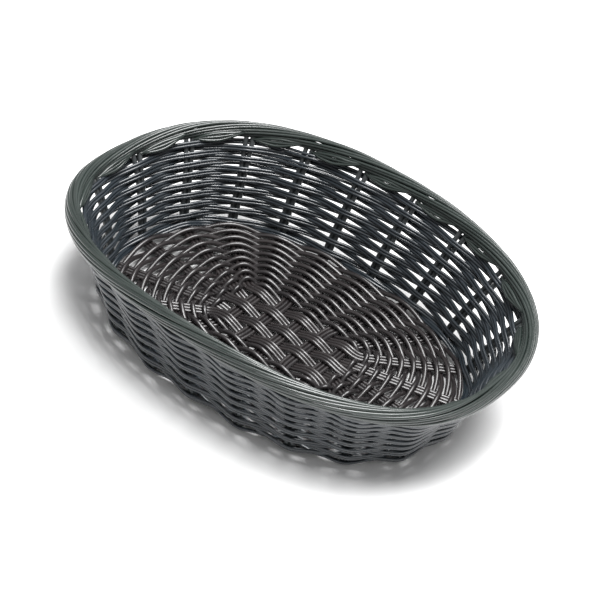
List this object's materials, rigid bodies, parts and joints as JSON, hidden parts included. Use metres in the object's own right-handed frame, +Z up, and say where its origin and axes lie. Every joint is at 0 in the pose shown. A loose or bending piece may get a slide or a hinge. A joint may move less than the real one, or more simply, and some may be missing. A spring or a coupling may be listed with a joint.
{
  "type": "bread basket",
  "caption": "Oval open bread basket with flared walls, hand-woven from black plastic strands over upright stakes, with a twisted rolled rim and a woven base.",
  "frame": {"origin": "middle of the oval, on the surface that the basket stands on", "axes": "+X along the oval's long axis, +Y across it, +Z up towards the open rim"},
  "size_m": [0.2274, 0.1654, 0.0585],
  "materials": {
    "base_stick": "glossy black plastic strand, moulded smooth",
    "base_weave": "glossy black plastic strand, moulded smooth, rubbed a little duller",
    "stake": "glossy black plastic strand, moulded smooth",
    "weave": "glossy black plastic strand, moulded smooth",
    "border": "glossy black plastic strand, moulded smooth",
    "rim": "glossy black plastic strand, moulded smooth"
  },
  "bodies": {
    "root": {"base_cross_stick_01": "base_stick", "base_cross_stick_02": "base_stick", "base_cross_stick_03": "base_stick", "base_cross_stick_04": "base_stick", "base_cross_stick_05": "base_stick", "base_long_stick_01": "base_stick", "base_long_stick_02": "base_stick", "base_long_stick_03": "base_stick", "base_long_stick_04": "base_stick", "base_long_stick_05": "base_stick", "base_band_01": "base_weave", "base_band_02": "base_weave", "base_band_03": "base_weave", "base_band_04": "base_weave", "base_band_05": "base_weave", "base_band_06": "base_weave", "stake_01": "stake", "stake_02": "stake", "stake_03": "stake", "stake_04": "stake", "stake_05": "stake", "stake_06": "stake", "stake_07": "stake", "stake_08": "stake", "stake_09": "stake", "stake_10": "stake", "stake_11": "stake", "stake_12": "stake", "stake_13": "stake", "stake_14": "stake", "stake_15": "stake", "stake_16": "stake", "stake_17": "stake", "stake_18": "stake", "stake_19": "stake", "stake_20": "stake", "weave_row_01": "weave", "weave_row_02": "weave", "weave_row_03": "weave", "weave_row_04": "weave", "weave_row_05": "weave", "weave_row_06": "weave", "weave_row_07": "weave", "weave_row_08": "weave", "weave_row_09": "weave", "weave_row_10": "weave", "weave_row_11": "weave", "weave_row_12": "weave", "weave_row_13": "weave", "weave_row_14": "weave", "weave_row_15": "weave", "border_row_01": "border", "border_row_02": "border", "rim_strand_01": "rim", "rim_strand_02": "rim", "rim_strand_03": "rim", "rim_strand_04": "rim", "rim_strand_05": "rim"}
  },
  "joints": []
}
